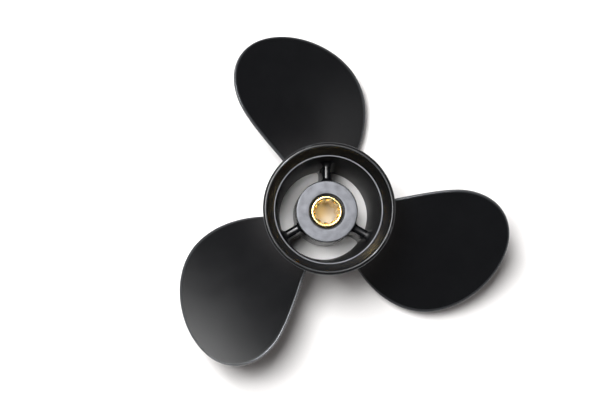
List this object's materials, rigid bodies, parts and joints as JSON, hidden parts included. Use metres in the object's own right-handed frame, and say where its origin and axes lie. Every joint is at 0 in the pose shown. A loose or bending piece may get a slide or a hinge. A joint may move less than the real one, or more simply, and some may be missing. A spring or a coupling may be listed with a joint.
{
  "type": "outboard boat propeller",
  "caption": "Right-hand outboard boat propeller: three broad skewed blades on a hollow exhaust hub with a flared rear ring, rubber bushing and splined brass sleeve.",
  "frame": {"origin": "on the propeller shaft's axis, in the plane of the hub's front end, on which the part stands", "axes": "+Z along the propeller shaft, from the engine towards the stern; +Y along the rib that points up in the picture; +X to the picture's right"},
  "size_m": [0.2326, 0.2331, 0.096],
  "materials": {
    "casting_paint": "satin",
    "black_rubber": "matte",
    "machined_brass": "satin"
  },
  "bodies": {
    "root": {"hub_barrel": "casting_paint", "diffuser_ring": "casting_paint", "inner_hub": "casting_paint", "rib_1": "casting_paint", "rib_2": "casting_paint", "rib_3": "casting_paint", "blade_1": "casting_paint", "blade_2": "casting_paint", "blade_3": "casting_paint", "rubber_bushing": "black_rubber", "splined_sleeve": "machined_brass"}
  },
  "joints": []
}
